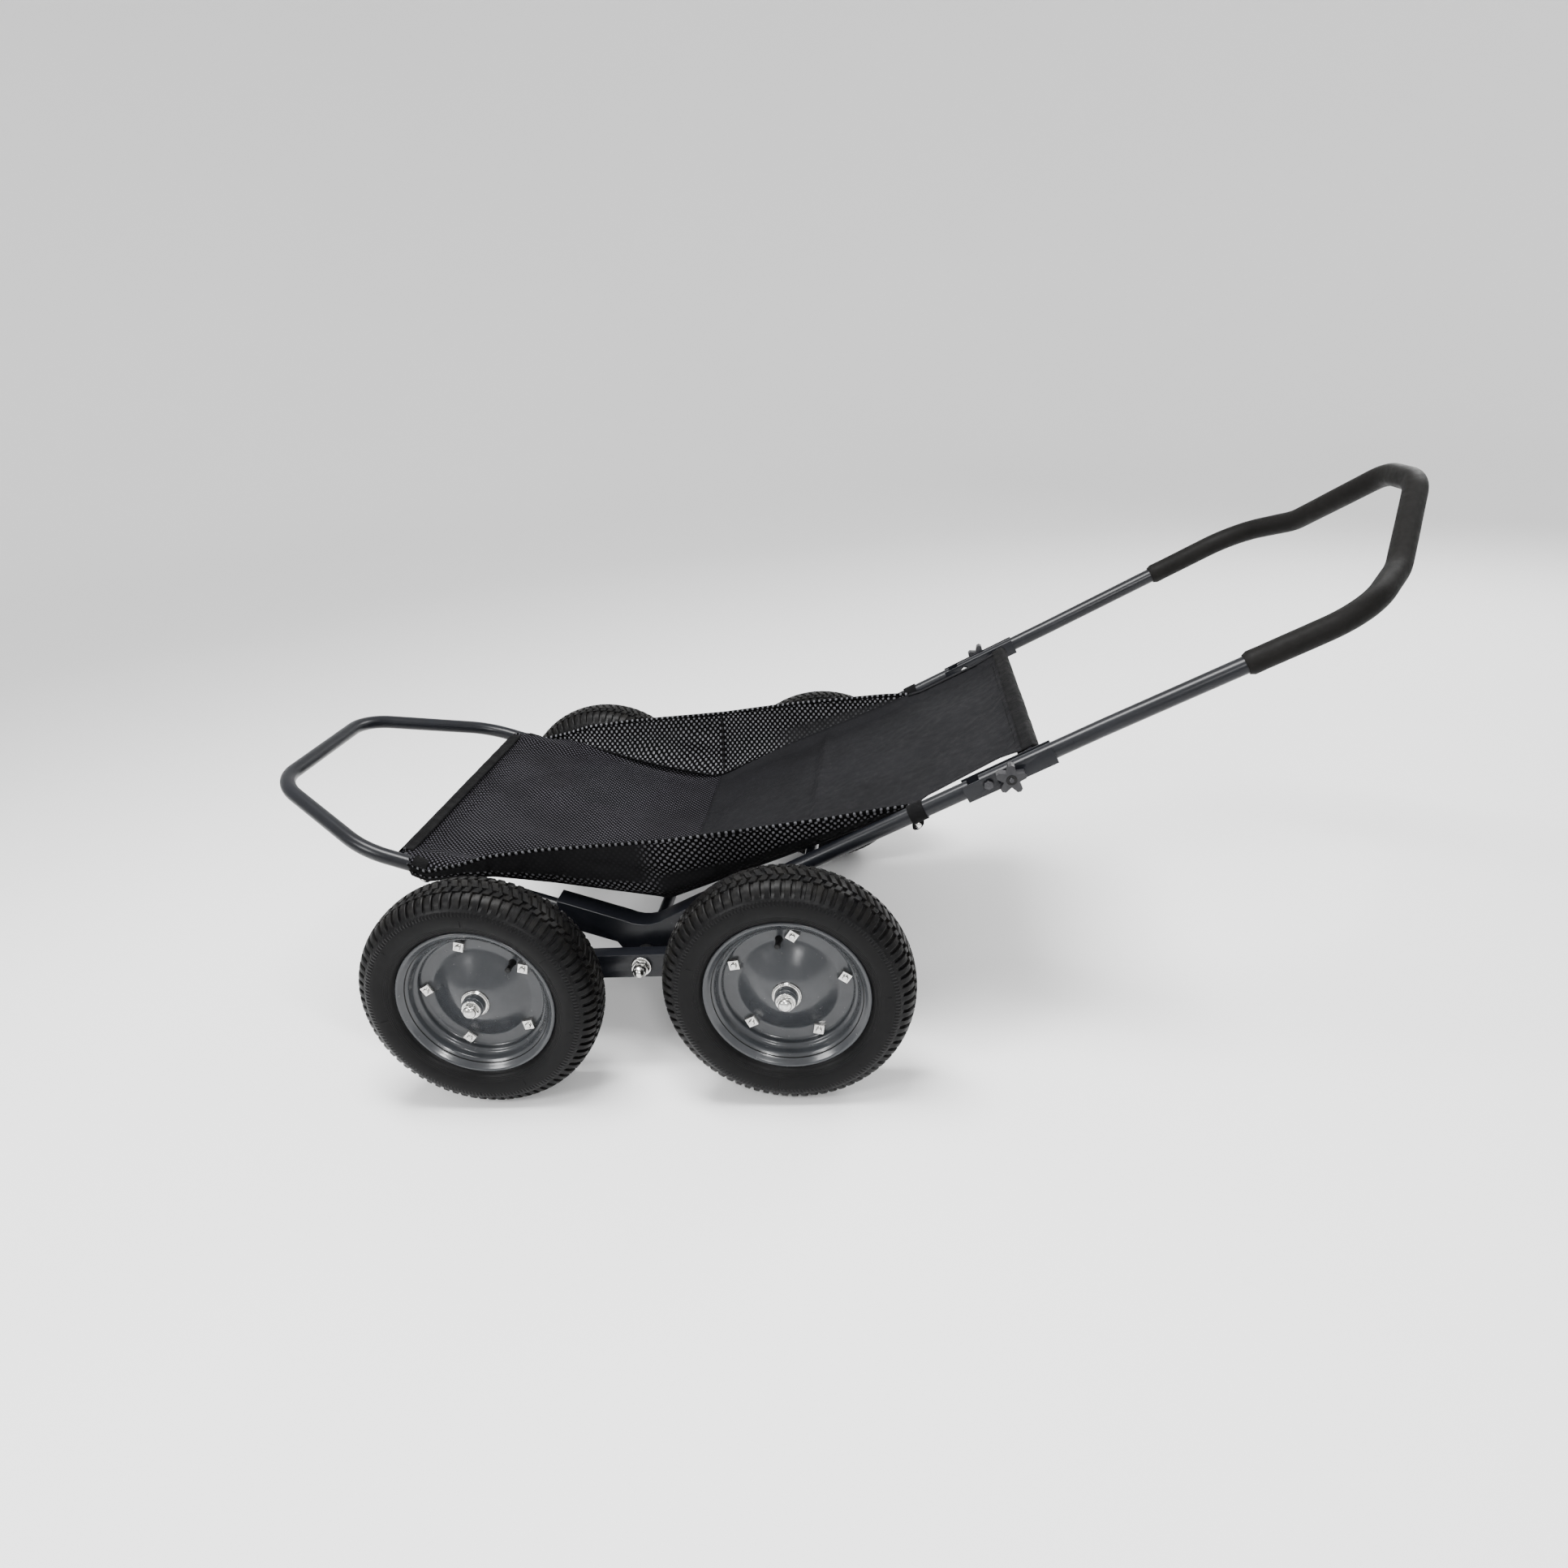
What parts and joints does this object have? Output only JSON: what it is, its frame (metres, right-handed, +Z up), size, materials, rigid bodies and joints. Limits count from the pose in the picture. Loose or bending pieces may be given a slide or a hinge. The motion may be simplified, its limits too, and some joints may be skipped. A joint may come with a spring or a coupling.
{
  "type": "game cart",
  "caption": "Hand cart with pneumatic wheels on rocking beams, a V-shaped tube frame with a mesh sling, a bumper loop and a folding padded handle.",
  "frame": {"origin": "on the ground, midway between the wheels of each axle and 6 mm behind the beam pivots", "axes": "+X towards the handle, +Y to the right of someone pulling the cart by the handle and facing away from the front, +Z up"},
  "size_m": [1.8632, 0.938, 0.8106],
  "materials": {
    "tyre": "matte black rubber",
    "valve": "black rubber",
    "foam": "closed-cell foam, matte black",
    "sling_mesh": "woven vinyl-coated mesh, black",
    "webbing": "flat woven webbing, black",
    "knob": "moulded plastic, dark grey",
    "bush": "moulded plastic, black",
    "rim_paint": "gloss dark grey paint on pressed steel",
    "zinc": "bright zinc plate",
    "powder_coat": "semi-gloss charcoal powder coat"
  },
  "bodies": {
    "frame": {"cross_strut": "powder_coat", "front_cross_tube": "powder_coat", "front_loop": "powder_coat", "handle_bracket_left": "powder_coat", "handle_bracket_right": "powder_coat", "hinge_bolt_left": "zinc", "hinge_bolt_right": "zinc", "pivot_bolt_left": "zinc", "pivot_bolt_right": "zinc", "pivot_bracket_left": "powder_coat", "pivot_bracket_right": "powder_coat", "pivot_bush_left": "bush", "pivot_bush_right": "bush", "pivot_nut_left": "zinc", "pivot_nut_right": "zinc", "rear_brace": "powder_coat", "rear_cross_tube": "powder_coat", "rear_rail_left": "powder_coat", "rear_rail_right": "powder_coat", "sling": "sling_mesh", "sling_strap_front_left": "webbing", "sling_strap_front_right": "webbing", "sling_strap_rear_left": "webbing", "sling_strap_rear_right": "webbing"},
    "handle": {"handle_tube": "powder_coat", "foam_grip": "foam"},
    "knob_left": {"star_knob_left": "knob"},
    "knob_right": {"star_knob_right": "knob"},
    "beam_left": {"rocker_beam_left": "powder_coat", "axle_bolt_front_left": "zinc", "axle_bolt_rear_left": "zinc", "axle_nut_front_left": "zinc", "axle_nut_rear_left": "zinc"},
    "wheel_front_left": {"tyre_front_left": "tyre", "rim_outer_front_left": "rim_paint", "rim_inner_front_left": "rim_paint", "hub_front_left": "rim_paint", "valve_stem_front_left": "valve"},
    "wheel_rear_left": {"tyre_rear_left": "tyre", "rim_outer_rear_left": "rim_paint", "rim_inner_rear_left": "rim_paint", "hub_rear_left": "rim_paint", "valve_stem_rear_left": "valve"},
    "beam_right": {"rocker_beam_right": "powder_coat", "axle_bolt_front_right": "zinc", "axle_bolt_rear_right": "zinc", "axle_nut_front_right": "zinc", "axle_nut_rear_right": "zinc"},
    "wheel_front_right": {"tyre_front_right": "tyre", "rim_outer_front_right": "rim_paint", "rim_inner_front_right": "rim_paint", "hub_front_right": "rim_paint", "valve_stem_front_right": "valve"},
    "wheel_rear_right": {"tyre_rear_right": "tyre", "rim_outer_rear_right": "rim_paint", "rim_inner_rear_right": "rim_paint", "hub_rear_right": "rim_paint", "valve_stem_rear_right": "valve"}
  },
  "joints": [
    {"name": "beam_rock_left", "type": "hinge", "parent": "frame", "child": "beam_left", "pos_m": [-0.006, -0.3345, 0.19], "axis": [0, 1, 0], "range_deg": [-20, 20]},
    {"name": "wheel_spin_front_left", "type": "hinge", "parent": "beam_left", "child": "wheel_front_left", "pos_m": [-0.245, -0.405, 0.19], "axis": [0, 1, 0], "continuous": true},
    {"name": "wheel_spin_rear_left", "type": "hinge", "parent": "beam_left", "child": "wheel_rear_left", "pos_m": [0.233, -0.405, 0.19], "axis": [0, 1, 0], "continuous": true},
    {"name": "beam_rock_right", "type": "hinge", "parent": "frame", "child": "beam_right", "pos_m": [-0.006, 0.3345, 0.19], "axis": [0, 1, 0], "range_deg": [-20, 20]},
    {"name": "wheel_spin_front_right", "type": "hinge", "parent": "beam_right", "child": "wheel_front_right", "pos_m": [-0.245, 0.405, 0.19], "axis": [0, 1, 0], "continuous": true},
    {"name": "wheel_spin_rear_right", "type": "hinge", "parent": "beam_right", "child": "wheel_rear_right", "pos_m": [0.233, 0.405, 0.19], "axis": [0, 1, 0], "continuous": true},
    {"name": "handle_fold", "type": "hinge", "parent": "frame", "child": "handle", "pos_m": [0.54, 0, 0.45222], "axis": [0, -1, 0], "range_deg": [0, 125]},
    {"name": "knob_turn_left", "type": "hinge", "parent": "frame", "child": "knob_left", "pos_m": [0.571, -0.312, 0.46595], "axis": [0, -1, 0], "range_deg": [0, 720]},
    {"name": "knob_turn_right", "type": "hinge", "parent": "frame", "child": "knob_right", "pos_m": [0.571, 0.312, 0.46595], "axis": [0, 1, 0], "range_deg": [0, 720]}
  ]
}
